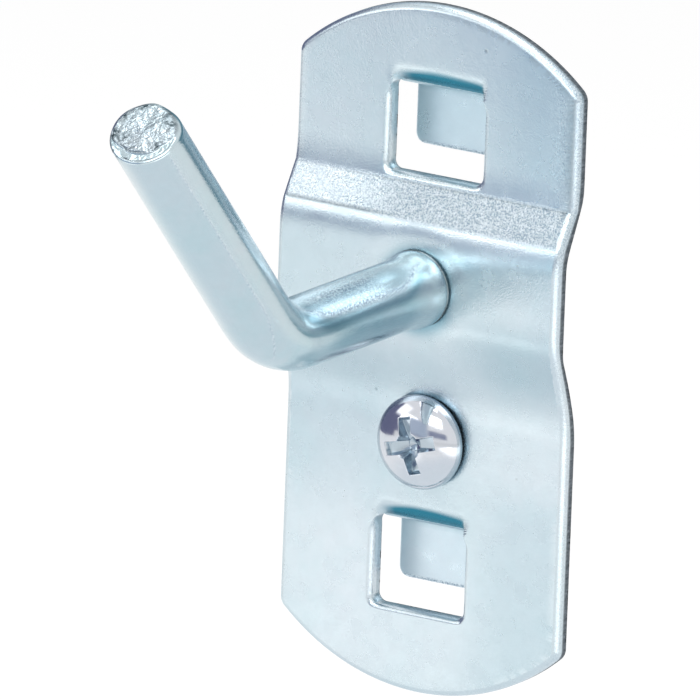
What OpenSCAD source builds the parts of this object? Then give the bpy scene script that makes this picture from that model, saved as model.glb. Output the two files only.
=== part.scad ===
// Pegboard hook with a stamped mounting plate, a bent rod arm and a locking screw.
// Origin: on the panel side of the plate, midway between its two hanging tongues.
// +Z is up, +Y goes into the panel and the arm reaches out along -Y.

/* [Sheet] */
// Thickness of the plate's sheet steel
sheet_t = 1.5; // [1:0.1:2]
// Width of the mounting plate
plate_w = 28; // [20:0.5:36]
// Height of the mounting plate over its two arched ends
plate_h = 60.2; // [58:0.2:70]
// Radius of the arched ends
end_r = 20.3; // [19:0.1:40]
// Radius of the corners where the arches meet the straight sides
corner_r = 1.3; // [0.5:0.1:3]

/* [Raised band] */
// Height of the arm, and of the middle of the band that carries it
arm_z = 6; // [5:0.1:7]
// How far the band stands proud of the rest of the plate
band_proud = 2.4; // [1.8:0.1:3]
// Distance from the band's middle to the middle of each joggle
joggle_offset = 6.9; // [6.5:0.1:7.5]
// Angle that each joggle slopes at
joggle_turn = 22; // [18:1:30]
// Inside radius of the joggle bends
joggle_in_r = 3; // [1:0.1:4]

/* [Hanging tongues] */
// Spacing of the panel's rows of square holes
grid_pitch = 38.1; // [37:0.1:40]
// Width of the windows that the tongues are lanced from
window_w = 9.5; // [8:0.1:12]
// Lower edge of each window, below its grid line
window_drop = 3.9; // [3:0.1:4.5]
// Corner radius of the windows
window_r = 0.9; // [0.3:0.1:1.5]
// Underside of each tongue, above its grid line
tongue_rise = 3.5; // [3:0.1:4.5]
// Length from a tongue's underside down to its tip
tongue_tail = 5.8; // [4:0.1:6]
// Room for the panel between the plate and a tongue
panel_gap = 2.5; // [1.6:0.1:4]
// Inside radius of the tongue bends
tongue_in_r = 0.7; // [0.4:0.1:0.8]
// Shear gap between a tongue and the sides of its window
tongue_side_gap = 0.2; // [0.1:0.05:0.4]
// Corner radius of the tongue tips
tongue_tip_r = 1; // [0.3:0.1:2]
// Lead-in on the edge of a tongue tip that first meets the panel
tongue_lead = 0.4; // [0.1:0.1:0.8]

/* [Arm] */
// Diameter of the arm's rod
rod_d = 6.2; // [5:0.1:7]
// Reach from the band's face to the corner of the arm's bend, on the rod's axis
arm_reach = 22.4; // [18:0.1:40]
// Angle that the free leg rises at
arm_turn = 46.5; // [30:0.5:75]
// Length of the free leg from the corner of the bend to its tip
leg_len = 31; // [20:0.5:50]
// Inside radius of the arm's bend
arm_in_r = 4.9; // [2:0.1:6]
// Chamfer at the arm's sheared tip and at its shoulder
rod_edge = 0.35; // [0.1:0.05:0.6]
// Diameter of the tenon that passes through the band
tenon_d = 4.8; // [3:0.1:4.8]
// Gap round the tenon in its hole
tenon_gap = 0.05; // [0.02:0.01:0.1]
// Diameter of the riveted head behind the band
rivet_d = 6.8; // [6:0.1:8.5]
// Thickness of the riveted head at its middle
rivet_h = 1.2; // [0.8:0.1:1.6]

/* [Locking screw] */
// Height of the screw's axis
screw_z = -7.8; // [-8.4:0.1:-7.7]
// Major diameter of the screw's thread
screw_d = 4.17; // [3:0.01:5]
// Length of the screw below its head
screw_len = 9.5; // [6:0.5:16]
// Chamfer at the screw's point
screw_point = 0.6; // [0.3:0.1:1]
// Gap round the thread in the plate's tapped hole
thread_gap = 0.05; // [0.02:0.01:0.1]
// Diameter of the pan head
head_d = 8.2; // [7:0.1:8.6]
// Height of the pan head
head_h = 2.5; // [2.2:0.1:3]
// Radius that rounds the pan head's edge
head_edge_r = 1.9; // [1:0.1:2.1]
// How far the head stands off the plate, clear of the joggle above it
head_gap = 0.3; // [0.25:0.05:1]
// Span of the cross recess at the top of the head
recess_span = 4.4; // [3.5:0.1:5]
// Width of the cross recess's wings
recess_wing = 1; // [0.6:0.1:1.2]
// Depth of the cross recess
recess_depth = 1.7; // [1:0.1:1.9]
// Angle that the cross recess is left at, counter-clockwise as seen from the front
recess_turn = 15; // [0:5:45]

/* [Hidden] */
$fn = 96;
steel = [0.77, 0.83, 0.87];
steel_dark = [0.66, 0.74, 0.79];

// Extra length by which a cutting shape passes a face
past = 1;
// Largest turn that one flat of a bend takes
bend_step = 5;

// Mid-sheet arcs and straight of one joggle, and the height that it takes up
joggle_mid_r = joggle_in_r + sheet_t / 2;
joggle_slope = (band_proud - 2 * joggle_mid_r * (1 - cos(joggle_turn))) / sin(joggle_turn);
joggle_h = 2 * joggle_mid_r * sin(joggle_turn) + joggle_slope * cos(joggle_turn);

// Face of the band, from which the arm stands out, and the band's back
band_face = -sheet_t - band_proud;
band_back = -band_proud;

// Centres of the arched ends and of the rounded corners of the outline
arch_z = plate_h / 2 - end_r;
corner_x = plate_w / 2 - corner_r;
corner_z = arch_z + sqrt(pow(end_r - corner_r, 2) - pow(corner_x, 2));
// Half width of the outline where an arch runs into its corner
arch_half_w = corner_x * end_r / (end_r - corner_r);

// Outside radius of the tongue bends, the line where a tongue leaves the plate, and its width
tongue_out_r = tongue_in_r + sheet_t;
tongue_root = tongue_rise + tongue_out_r;
tongue_w = window_w - 2 * tongue_side_gap;

// Radius of the rod's axis round its bend, and the straight that the bend takes off each leg
arm_bend_r = arm_in_r + rod_d / 2;
arm_set_back = arm_bend_r * tan(arm_turn / 2);

// Radius of the riveted head's dome
rivet_dome_r = (pow(rivet_d / 2, 2) + pow(rivet_h, 2)) / (2 * rivet_h);

// Unit vector that lies to the left of a heading
function left_of(heading) = [-sin(heading), cos(heading)];

// Points of one side of a run of sheet, at a given depth below its first face. Each step is a flat
// length, a turn and the turn's inside radius. A positive turn goes left, towards the far face.
function run_side(steps, depth, from = [0, 0], heading = 0, i = 0) =
    i == len(steps) ? [] :
    let (
        turn = steps[i][1],
        pivot_depth = turn > 0 ? sheet_t + steps[i][2] : -steps[i][2],
        bend_start = from + steps[i][0] * [cos(heading), sin(heading)],
        pivot = bend_start + pivot_depth * left_of(heading),
        flats = max(1, ceil(abs(turn) / bend_step)),
        bend = [for (k = [0:flats]) pivot + (depth - pivot_depth) * left_of(heading + turn * k / flats)],
        next_from = pivot - pivot_depth * left_of(heading + turn)
    )
    concat(
        turn == 0 ? [bend_start + depth * left_of(heading)] : bend,
        run_side(steps, depth, next_from, heading + turn, i + 1)
    );

function reversed(points) = [for (k = [len(points) - 1:-1:0]) points[k]];

// Sheet of constant thickness that follows a run of flats and bends in the XY plane from the origin
module sheet_run(steps, w) {
    linear_extrude(w, center = true)
        polygon(concat(
            [[0, 0]],
            run_side(steps, 0),
            reversed(run_side(steps, sheet_t)),
            [[0, sheet_t]]
        ));
}

// Rounded rectangle with its lower edge on the x axis
module rounded_rect(w, h, r) {
    translate([-w / 2, r])
        square([w, h - 2 * r]);
    translate([r - w / 2, 0])
        square([w - 2 * r, h]);
    for (x = [r - w / 2, w / 2 - r], y = [r, h - r])
        translate([x, y])
            circle(r = r);
}

// Stands a flat outline up in the XZ plane, as a prism between two values of y
module upright(y_from, y_to) {
    translate([0, y_to, 0])
        rotate([90, 0, 0])
            linear_extrude(y_to - y_from)
                children();
}

// Outline of the plate: straight sides, arched ends and rounded corners
module plate_outline() {
    square([plate_w, 2 * corner_z], center = true);
    for (end = [0, 1])
        mirror([0, end]) {
            translate([0, arch_z])
                intersection() {
                    circle(r = end_r);
                    translate([-arch_half_w, 0])
                        square([2 * arch_half_w, end_r]);
                }
            for (x = [-corner_x, corner_x])
                translate([x, corner_z])
                    circle(r = corner_r);
        }
}

// Strip of sheet, joggled forward into the raised band and back again
module joggled_strip() {
    start_z = -plate_h / 2 - past;
    low_flat = arm_z - joggle_offset - joggle_h / 2 - start_z;
    band_flat = 2 * joggle_offset - joggle_h;
    top_flat = plate_h / 2 + past - (arm_z + joggle_offset + joggle_h / 2);
    translate([0, -sheet_t, start_z])
        rotate([0, -90, 0])
            sheet_run([
                [low_flat, -joggle_turn, joggle_in_r],
                [joggle_slope, joggle_turn, joggle_in_r],
                [band_flat, joggle_turn, joggle_in_r],
                [joggle_slope, -joggle_turn, joggle_in_r],
                [top_flat, 0, 0]
            ], plate_w + 2 * past);
}

// Tongue lanced out of a window: back through the panel's hole, then down behind the panel
module tongue() {
    root_flat = 0.5;
    back_flat = sheet_t + panel_gap - tongue_out_r - tongue_in_r;
    tip_z = tongue_rise - tongue_tail;
    tip_flat = tongue_tail - tongue_in_r;
    difference() {
        intersection() {
            translate([0, -sheet_t, tongue_root + root_flat])
                rotate([0, 90, 0])
                    sheet_run([
                        [root_flat, 90, tongue_in_r],
                        [back_flat, -90, tongue_in_r],
                        [tip_flat, 0, 0]
                    ], tongue_w + 2 * past);
            upright(-2 * sheet_t, panel_gap + 2 * sheet_t)
                translate([0, tip_z])
                    rounded_rect(tongue_w, tongue_tail + tongue_out_r + sheet_t + past, tongue_tip_r);
        }
        translate([0, panel_gap, tip_z])
            rotate([45, 0, 0])
                cube([window_w, tongue_lead * sqrt(2), tongue_lead * sqrt(2)], center = true);
    }
}

module mounting_plate() {
    color(steel) {
        difference() {
            intersection() {
                joggled_strip();
                upright(band_face - past, past)
                    plate_outline();
            }
            for (z = [-grid_pitch / 2, grid_pitch / 2])
                upright(band_face - past, past)
                    translate([0, z - window_drop])
                        rounded_rect(window_w, window_drop + tongue_root, window_r);
            upright(band_face - past, past)
                translate([0, arm_z])
                    circle(d = tenon_d + 2 * tenon_gap);
            upright(-sheet_t - past, past)
                translate([0, screw_z])
                    circle(d = screw_d + 2 * thread_gap);
        }
        for (z = [-grid_pitch / 2, grid_pitch / 2])
            translate([0, 0, z])
                tongue();
    }
}

// One bent bar: a domed rivet head and tenon, the shoulder on the band, the bend and the free leg
module hook_rod() {
    reach = arm_reach - arm_set_back;
    leg = leg_len - arm_set_back;
    color(steel_dark)
        translate([0, band_face, arm_z])
            rotate([90, 0, -90]) {
                rotate([0, 90, 0]) {
                    cylinder(h = rod_edge, d1 = rod_d - 2 * rod_edge, d2 = rod_d);
                    translate([0, 0, rod_edge])
                        cylinder(h = reach - rod_edge, d = rod_d);
                    translate([0, 0, -sheet_t - rivet_h / 2])
                        cylinder(h = sheet_t + rivet_h / 2 + rod_edge, d = tenon_d);
                    translate([0, 0, -sheet_t - rivet_h])
                        intersection() {
                            cylinder(h = rivet_h, d = rivet_d);
                            translate([0, 0, rivet_dome_r])
                                sphere(r = rivet_dome_r);
                        }
                }
                translate([reach, arm_bend_r, 0]) {
                    rotate([0, 0, -90])
                        rotate_extrude(angle = arm_turn)
                            translate([arm_bend_r, 0])
                                circle(d = rod_d);
                    rotate([0, 0, arm_turn])
                        translate([0, -arm_bend_r, 0])
                            rotate([0, 90, 0]) {
                                cylinder(h = leg - rod_edge, d = rod_d);
                                translate([0, 0, leg - rod_edge])
                                    cylinder(h = rod_edge, d1 = rod_d, d2 = rod_d - 2 * rod_edge);
                            }
                }
            }
}

// Half section of the pan head, from the axis out, with its flat underside on the x axis
module head_profile() {
    square([head_d / 2 - head_edge_r, head_h]);
    square([head_d / 2, head_h - head_edge_r]);
    translate([head_d / 2 - head_edge_r, head_h - head_edge_r])
        intersection() {
            circle(r = head_edge_r);
            square(head_edge_r);
        }
}

// Cross recess: two pairs of wings that narrow with depth, round a tapered middle
module cross_recess() {
    floor_half = recess_span / 6;
    for (quarter = [0, 90])
        rotate([0, 0, quarter])
            rotate([90, 0, 0])
                linear_extrude(recess_wing, center = true)
                    polygon([
                        [-floor_half, -recess_depth],
                        [floor_half, -recess_depth],
                        [recess_span / 2, 0],
                        [recess_span / 2, past],
                        [-recess_span / 2, past],
                        [-recess_span / 2, 0]
                    ]);
    translate([0, 0, -recess_depth - floor_half / 2])
        cylinder(h = recess_depth + floor_half / 2, r1 = 0.1, r2 = recess_span / 4);
}

// Pan-head machine screw, held by the plate's tapped hole
module locking_screw() {
    color(steel_dark)
        translate([0, -sheet_t - head_gap, screw_z])
            rotate([90, -recess_turn, 0]) {
                difference() {
                    rotate_extrude()
                        head_profile();
                    translate([0, 0, head_h])
                        cross_recess();
                }
                translate([0, 0, screw_point - screw_len])
                    cylinder(h = screw_len - screw_point, d = screw_d);
                translate([0, 0, -screw_len])
                    cylinder(h = screw_point, d1 = screw_d - 2 * screw_point, d2 = screw_d);
            }
}

mounting_plate();
hook_rod();
locking_screw();
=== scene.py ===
import math
import bmesh
import bpy
import numpy as np
from mathutils import Matrix, Vector


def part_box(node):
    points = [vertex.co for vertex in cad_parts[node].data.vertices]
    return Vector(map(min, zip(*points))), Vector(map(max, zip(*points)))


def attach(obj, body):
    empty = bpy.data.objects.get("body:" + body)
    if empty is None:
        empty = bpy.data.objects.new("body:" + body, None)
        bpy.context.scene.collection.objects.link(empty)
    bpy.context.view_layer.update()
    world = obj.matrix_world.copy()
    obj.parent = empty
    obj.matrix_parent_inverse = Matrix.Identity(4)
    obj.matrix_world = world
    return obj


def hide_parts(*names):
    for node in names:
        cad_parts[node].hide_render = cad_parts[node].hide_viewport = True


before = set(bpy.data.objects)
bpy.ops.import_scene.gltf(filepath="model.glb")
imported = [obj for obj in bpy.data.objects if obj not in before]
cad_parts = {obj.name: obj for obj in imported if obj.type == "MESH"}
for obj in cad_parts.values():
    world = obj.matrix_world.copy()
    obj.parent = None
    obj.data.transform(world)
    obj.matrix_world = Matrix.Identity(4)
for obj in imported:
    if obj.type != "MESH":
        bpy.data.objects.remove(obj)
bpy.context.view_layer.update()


# ---- Camera -----------------------------------------------
# A long lens well back from the hook, on the arm's right, a little above it, and held
# slightly tilted. It looks at a point just in front of the plate.
camera_turn = math.radians(31.81)
camera_lift = math.radians(15.15)
camera_roll = math.radians(2.18)
camera_distance = 2.606
camera_aim_right = -0.006559
camera_aim_up = 0.000138
camera_aim_front = -0.0015
camera_lens_mm = 1584.5
camera_sensor_mm = 36
camera_far = 20

to_camera = Vector((
    math.sin(camera_turn) * math.cos(camera_lift),
    -math.cos(camera_turn) * math.cos(camera_lift),
    math.sin(camera_lift),
))
level_right = Vector((math.cos(camera_turn), math.sin(camera_turn), 0))
level_up = to_camera.cross(level_right)
camera_right = level_right * math.cos(camera_roll) + level_up * math.sin(camera_roll)
camera_up = level_up * math.cos(camera_roll) - level_right * math.sin(camera_roll)


def add_to_scene(name, data):
    """A new object that shows some data, linked into the scene."""
    thing = bpy.data.objects.new(name, data)
    bpy.context.scene.collection.objects.link(thing)
    return thing


camera_data = bpy.data.cameras.new("camera")
camera_data.sensor_width = camera_sensor_mm
camera_data.lens = camera_lens_mm
camera_data.clip_end = camera_far
camera = add_to_scene("camera", camera_data)
camera_axes = Matrix((camera_right, camera_up, to_camera)).transposed().to_4x4()
camera_axes.translation = (
    camera_right * camera_aim_right
    + camera_up * camera_aim_up
    + to_camera * camera_distance
    + Vector((0, camera_aim_front, 0))
)
camera.matrix_world = camera_axes
bpy.context.scene.camera = camera
bpy.context.scene.view_settings.view_transform = "Standard"


# ---- Studio -----------------------------------------------
# A pale floor below the hanging hook, a white room, a narrow softbox in front on the
# left, a broad one overhead, and tinted cards that give the bright plating something
# to reflect.
floor_z = -0.075
floor_half = 6.0
floor_grey = 0.62
floor_lift = 0.48
room_fill = 0.62
lamp_aim = (0, -0.01, 0)
hook_middle = (0, 0, 0)
pure_white = (1.0, 1.0, 1.0)
corner_signs = ((-1, -1), (1, -1), (1, 1), (-1, 1))


def blank_nodes(owner):
    """Nodes and links of a world or a material, emptied first."""
    owner.use_nodes = True
    owner.node_tree.nodes.clear()
    return owner.node_tree.nodes, owner.node_tree.links


def add_node(nodes, kind, **settings):
    """A new shader node of a kind, with some inputs set by their names in small letters."""
    node = nodes.new("ShaderNode" + kind)
    for title, value in settings.items():
        node.inputs[title.replace("_", " ").title()].default_value = value
    return node


def add_math(nodes, links, how, *values):
    """Result of plain arithmetic on values, each a number or a link."""
    step = nodes.new("ShaderNodeMath")
    step.operation = how
    for socket, value in zip(step.inputs, values):
        if isinstance(value, float):
            socket.default_value = value
        else:
            links.new(value, socket)
    return step.outputs[0]


def mix_shaders(nodes, links, factor, first, second):
    """Two shaders mixed by a factor, all three given as links."""
    mix = nodes.new("ShaderNodeMixShader")
    for socket, source in zip(mix.inputs, (factor, first, second)):
        links.new(source, socket)
    return mix.outputs[0]


def shown_to_lookers(nodes, links, plain, shown):
    """Mix of two shaders: shown for rays from the camera, off gloss or through glass, and plain
    for the rest."""
    ray = nodes.new("ShaderNodeLightPath").outputs
    seen = add_math(nodes, links, "MAXIMUM", ray["Is Camera Ray"], ray["Is Glossy Ray"])
    seen = add_math(nodes, links, "MAXIMUM", seen, ray["Is Transmission Ray"])
    return mix_shaders(nodes, links, seen, plain, shown)


room = bpy.data.worlds.new("white_room")
bpy.context.scene.world = room
room_nodes, room_links = blank_nodes(room)
room_light = add_node(room_nodes, "Background", color=(*pure_white, 1), strength=room_fill)
room_white = add_node(room_nodes, "Background", color=(*pure_white, 1))
room_mix = shown_to_lookers(room_nodes, room_links, room_light.outputs[0], room_white.outputs[0])
room_out = room_nodes.new("ShaderNodeOutputWorld")
room_links.new(room_mix, room_out.inputs["Surface"])

floor_finish = bpy.data.materials.new("floor_paper")
floor_nodes, floor_links = blank_nodes(floor_finish)
floor_paper = add_node(floor_nodes, "BsdfDiffuse", color=(floor_grey, floor_grey, floor_grey, 1))
floor_dark = add_node(floor_nodes, "Emission", strength=0)
floor_glow = add_node(floor_nodes, "Emission", strength=floor_lift)
floor_shine = shown_to_lookers(
    floor_nodes, floor_links, floor_dark.outputs[0], floor_glow.outputs[0],
)
floor_add = floor_nodes.new("ShaderNodeAddShader")
floor_out = floor_nodes.new("ShaderNodeOutputMaterial")
floor_links.new(floor_paper.outputs[0], floor_add.inputs[0])
floor_links.new(floor_shine, floor_add.inputs[1])
floor_links.new(floor_add.outputs[0], floor_out.inputs["Surface"])

floor_corners = [(floor_half * a, floor_half * b, floor_z) for a, b in corner_signs]
floor_mesh = bpy.data.meshes.new("floor")
floor_mesh.from_pydata(floor_corners, [], [(0, 1, 2, 3)])
floor_mesh.materials.append(floor_finish)
floor = add_to_scene("floor", floor_mesh)


def softbox(name, place, wide, high, radiance):
    """A flat rectangular lamp that faces the hook. Its watts are its radiance times pi times its
    area."""
    lamp = bpy.data.lights.new(name, "AREA")
    lamp.shape = "RECTANGLE"
    lamp.size = wide
    lamp.size_y = high
    lamp.energy = radiance * math.pi * wide * high
    stand = add_to_scene(name, lamp)
    stand.location = place
    facing = Vector(place) - Vector(lamp_aim)
    stand.rotation_euler = facing.to_track_quat("Z", "Y").to_euler()


def tinted_card(name, place, aim, wide, high, tint, strength, feather):
    """A flat board, seen only in reflections, that faces the aim point and shows one tint. It
    thins out to clear over the feather, a share of the way from its edges to its middle."""
    facing = (Vector(aim) - Vector(place)).normalized()
    sideways = Vector((0, 0, 1)).cross(facing).normalized()
    upwards = facing.cross(sideways)
    corners = [
        Vector(place) + sideways * wide * 0.5 * a + upwards * high * 0.5 * b
        for a, b in corner_signs
    ]
    board = bpy.data.meshes.new(name)
    board.from_pydata([tuple(c) for c in corners], [], [(0, 1, 2, 3)])
    on_board = board.uv_layers.new(name="board")
    on_board.data.foreach_set("uv", np.array(corner_signs, np.float32).ravel())
    paint = bpy.data.materials.new(name)
    nodes, links = blank_nodes(paint)
    glow = add_node(nodes, "Emission", color=(*tint, 1), strength=strength)
    clear = nodes.new("ShaderNodeBsdfTransparent")
    spot = nodes.new("ShaderNodeSeparateXYZ")
    links.new(nodes.new("ShaderNodeTexCoord").outputs["UV"], spot.inputs[0])
    ways = []
    for k in (0, 1):
        thin = add_node(nodes, "MapRange", from_min=1 - feather, to_min=1.0, to_max=0.0)
        thin.interpolation_type = "SMOOTHSTEP"
        links.new(add_math(nodes, links, "ABSOLUTE", spot.outputs[k]), thin.inputs["Value"])
        ways.append(thin.outputs[0])
    solid = add_math(nodes, links, "MULTIPLY", *ways)
    fade_out = mix_shaders(nodes, links, solid, clear.outputs[0], glow.outputs[0])
    out = nodes.new("ShaderNodeOutputMaterial")
    links.new(fade_out, out.inputs["Surface"])
    board.materials.append(paint)
    card = add_to_scene(name, board)
    card.visible_camera = False
    card.visible_diffuse = False
    card.visible_shadow = False


softbox("front_left_softbox", (-0.3, -0.42, 0.215), 0.3, 0.12, 2.2)
softbox("overhead_softbox", (-0.06, -0.02, 0.6), 0.52, 0.42, 2.3)

# Each card's name, place, aim, width, height, tint, strength and feather
for card in (
    ("strip_card", (-0.285, -0.4, 0.19), (0, 0, 0.01), 0.4, 0.1, pure_white, 3.2, 0.3),
    ("front_card", (0.12, -0.36, 0.285), hook_middle, 0.36, 0.21, pure_white, 4.2, 0.35),
    ("horizon_card", (-0.3, -0.45, 0.045), hook_middle, 0.85, 0.14, (0.22, 0.23, 0.34), 1, 0.5),
    ("low_right_card", (0.22, -0.48, 0.095), hook_middle, 0.6, 0.13, (0.3, 0.33, 0.45), 1, 0.5),
    ("left_card", (-0.42, 0.02, 0.08), hook_middle, 0.86, 0.5, (0.17, 0.18, 0.29), 1, 0.25),
    ("right_pool_card", (0.3, -0.17, -0.0733), (0.3, -0.169, 0.2),
     0.4, 0.46, pure_white, 2.1, 0.5),
    ("back_card", (0, 0.45, 0), hook_middle, 1.1, 0.7, (0.14, 0.27, 0.34), 1, 0.5),
    ("high_back_card", (-0.4, 0.47, 0.4), hook_middle, 0.4, 0.36, (0.9, 0.95, 1), 1.2, 0.5),
    ("ceiling_card", (-0.2, 0, 0.4), hook_middle, 0.13, 0.13, (0.05, 0.06, 0.09), 1, 0.3),
    ("leg_shade_card", (0.02, 0, -0.074), (0.021, 0, 0.2), 0.36, 0.26, (0.92, 0.96, 1), 1, 0.6),
    ("shade_card", (-0.03, -0.105, 0.022), (0.01, 0, 0.03),
     0.1, 0.075, (0.5, 0.58, 0.7), 1, 0.5),
    ("slope_glow_card", (-0.125, -0.078, 0.088), (-0.02, 0, 0.013),
     0.1, 0.09, pure_white, 1.7, 0.5),
    ("mid_shade_card", (-0.13, -0.212, -0.0735), (-0.13, -0.211, 0.2),
     0.17, 0.075, (0.74, 0.82, 0.88), 1, 0.5),
    ("top_pool_card", (-0.215, -0.345, -0.0735), (-0.215, -0.344, 0.2),
     0.24, 0.15, pure_white, 1.8, 0.7),
    ("pool_card", (-0.085, -0.14, -0.0733), (-0.085, -0.139, 0.2),
     0.15, 0.12, pure_white, 1.4, 0.6),
):
    tinted_card(*card)


# ---- Mounting plate ---------------------------------------
# Stamped from 1.5 mm steel sheet: blanked with arched ends, joggled out into a band
# across the middle, and pierced by two windows. The punch rolls the front edges over
# and leaves the walls sheared and the back edges sharp. Bright zinc with a blue passivate.
plate_low, plate_high = (np.array(corner) * 1000 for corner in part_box("mounting_plate"))
plate_half_w = plate_high[0]
plate_half_h = plate_high[2]
band_front = plate_low[1]
sheet_t = 1.5
end_r = 20.3
corner_r = 1.3
arm_z = 6.0
rod_r = 3.1
edge_roll = 0.58
edge_drop = 0.78
burr = 0.08
window_left = -4.75
window_right = 4.58
lower_window_right = 4.28
window_r = 0.8
window_low = 15.15
window_top = 24.75
lower_window_low = -22.95
lower_window_top = -13.35
root_bend_r = 2.2
root_cut = 1.7
block_low = 14.57
lower_block_top = -12.5
seat_dish = 0.15
merge_gap = 4e-7
seat_r = 3.3
seat_blend = 2.4
slope_low = 11.4
slope_high = 14.9
upper_crease_z = 14.47
lower_crease_z = 11.8
shaded_edge_z = 13.0

arch_z = plate_half_h - end_r
corner_x = plate_half_w - corner_r
corner_z = arch_z + math.sqrt((end_r - corner_r) ** 2 - corner_x ** 2)
shoulder = math.atan2(corner_z - arch_z, corner_x)

# Height, depth, slope above and slope below of each knot of the two faces, from top to bottom
front_knots = np.array([
    [40, -1.5, 0, 0],
    [17.4, -1.5, 0, 0],
    [14.5, -1.76, 0.2, 0.6],
    [11.65, -3.44, 0.57, 0.44],
    [11.1, -3.645, 0.31, 0.31],
    [8.7, -3.9, 0, 0],
    [3.6, -3.9, 0, 0],
    [0.9, -3.26, -0.38, -0.38],
    [-3, -1.92, -0.27, -0.27],
    [-6.4, -1.5, 0, 0],
    [-40, -1.5, 0, 0],
])
back_knots = np.array([
    [40, 0, 0, 0],
    [17, 0, 0, 0],
    [14.9, -0.3, 0.42, 0.42],
    [11.3, -1.95, 0.46, 0.46],
    [9.2, -2.4, 0, 0],
    [2.3, -2.4, 0, 0],
    [1.2, -2.1, -0.45, -0.45],
    [-3.2, -0.45, -0.3, -0.3],
    [-6.4, 0, 0, 0],
    [-40, 0, 0, 0],
])


def face_depth(z, knots):
    """Depth of a face at height z: between each two knots, a cubic that meets their depths and
    slopes."""
    step = np.clip(np.searchsorted(-knots[:, 0], -z, side="right") - 1, 0, len(knots) - 2)
    upper, lower = knots[step], knots[step + 1]
    span = lower[..., 0] - upper[..., 0]
    s = (z - upper[..., 0]) / span
    return (
        upper[..., 1] * (1 + 2 * s) * (1 - s) ** 2
        + upper[..., 3] * span * s * (1 - s) ** 2
        + lower[..., 1] * s ** 2 * (3 - 2 * s)
        + lower[..., 2] * span * s ** 2 * (s - 1)
    )


def eased(count):
    """Even turns of a half circle seen from the side: 0 to 1, closest together at both ends."""
    return 0.5 - 0.5 * np.cos(np.linspace(0, np.pi, count))


def run_length(points):
    """How far along a chain of points each of them lies."""
    return np.concatenate([[0], np.cumsum(np.linalg.norm(np.diff(points, axis=0), axis=1))])


def along(points, normals, fractions):
    """Points and normals at fractions of the length of a chain of points."""
    length = run_length(points)
    at = fractions * length[-1]
    place = np.stack([np.interp(at, length, points[:, k]) for k in (0, 1)], axis=-1)
    facing = np.stack([np.interp(at, length, normals[:, k]) for k in (0, 1)], axis=-1)
    return place, facing / np.linalg.norm(facing, axis=1, keepdims=True)


def arc(centre, radius, start, end, count=80):
    """Points of an arc and the directions that point out of it."""
    turn = np.linspace(start, end, count)
    out = np.stack([np.cos(turn), np.sin(turn)], axis=-1)
    return np.asarray(centre) + radius * out, out


def line(start, end, out, count=80):
    """Points of a straight and one direction out of it for all of them."""
    s = np.linspace(0, 1, count)[:, None]
    return np.array(start) * (1 - s) + np.array(end) * s, np.tile(np.array(out, float), (count, 1))


def chain(*runs):
    """Joins runs of points and normals end to end."""
    return np.concatenate([r[0] for r in runs]), np.concatenate([r[1] for r in runs])


def end_sides(start_z, fractions):
    """Right side, arch and left side of one end of the plate, from start_z up, split mid corner."""
    half = shoulder / 2
    right = chain(
        line((plate_half_w, start_z), (plate_half_w, corner_z), (1, 0)),
        arc((corner_x, corner_z), corner_r, 0, half),
    )
    top = chain(
        arc((corner_x, corner_z), corner_r, half, shoulder),
        arc((0, arch_z), end_r, shoulder, math.pi - shoulder, 400),
        arc((-corner_x, corner_z), corner_r, math.pi - shoulder, math.pi - half),
    )
    left = chain(
        arc((-corner_x, corner_z), corner_r, math.pi - half, math.pi),
        line((-plate_half_w, corner_z), (-plate_half_w, start_z), (-1, 0)),
    )
    return [along(*side, fractions) for side in (right, top, left)]


def window_sides(low, top, right, fractions):
    """Bottom, right, top and left side of a window, each from mid corner to mid corner, with
    normals into it."""
    r = window_r
    quarter = math.pi / 4
    corners = [
        (window_left + r, low + r), (right - r, low + r),
        (right - r, top - r), (window_left + r, top - r),
    ]
    sides = []
    for k in range(4):
        a, b = np.array(corners[k]), np.array(corners[(k + 1) % 4])
        facing = -math.pi / 2 + k * math.pi / 2
        out = np.array([math.cos(facing), math.sin(facing)])
        side = chain(
            arc(a, r, facing - quarter, facing),
            line(a + r * out, b + r * out, out),
            arc(b, r, facing, facing + quarter),
        )
        place, away = along(*side, fractions)
        sides.append((place, -away))
    return sides


def fade(value):
    """0 below 0, 1 above 1, and an even S between."""
    value = np.clip(value, 0, 1)
    return value * value * (3 - 2 * value)


def draw(x, z):
    """Depth of the pulled-back arcs over the tongues' roots, between each window's sides, and the
    share of painted shade for a dark crescent in each, growing as the arc turns down, from 0 to 1."""
    depth = np.zeros_like(x)
    turned = np.zeros_like(x)
    for root_z, right in ((window_top, window_right), (lower_window_top, lower_window_right)):
        below = np.clip(root_z - z, 0, root_cut + 0.05)
        between = fade((x - window_left) / 1.2) * fade((right - x) / 0.3)
        between = between * fade((z - root_z + root_cut + 1.2) / 1.0)
        depth = depth + between * (root_bend_r - np.sqrt(root_bend_r ** 2 - below ** 2))
        # Painted shade: the crescent is arched across the window and fades out at its left end
        off_centre = (2 * x - window_left - right) / (right - window_left)
        arch = 0.3 * off_centre ** 2 + 0.28 * fade(-off_centre)
        past_left = fade((x - window_left) / 2.2)
        turned = turned + between * past_left * fade((below - 0.2 - arch) / 0.55)
    return depth, turned


def front_face(x, z):
    """Depth of the front face: the joggled run with its draws, dished a little round the arm."""
    seat = seat_dish * fade(1 - (np.hypot(x, z - arm_z) - seat_r) / seat_blend)
    return face_depth(z, front_knots) + draw(x, z)[0] + seat


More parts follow.
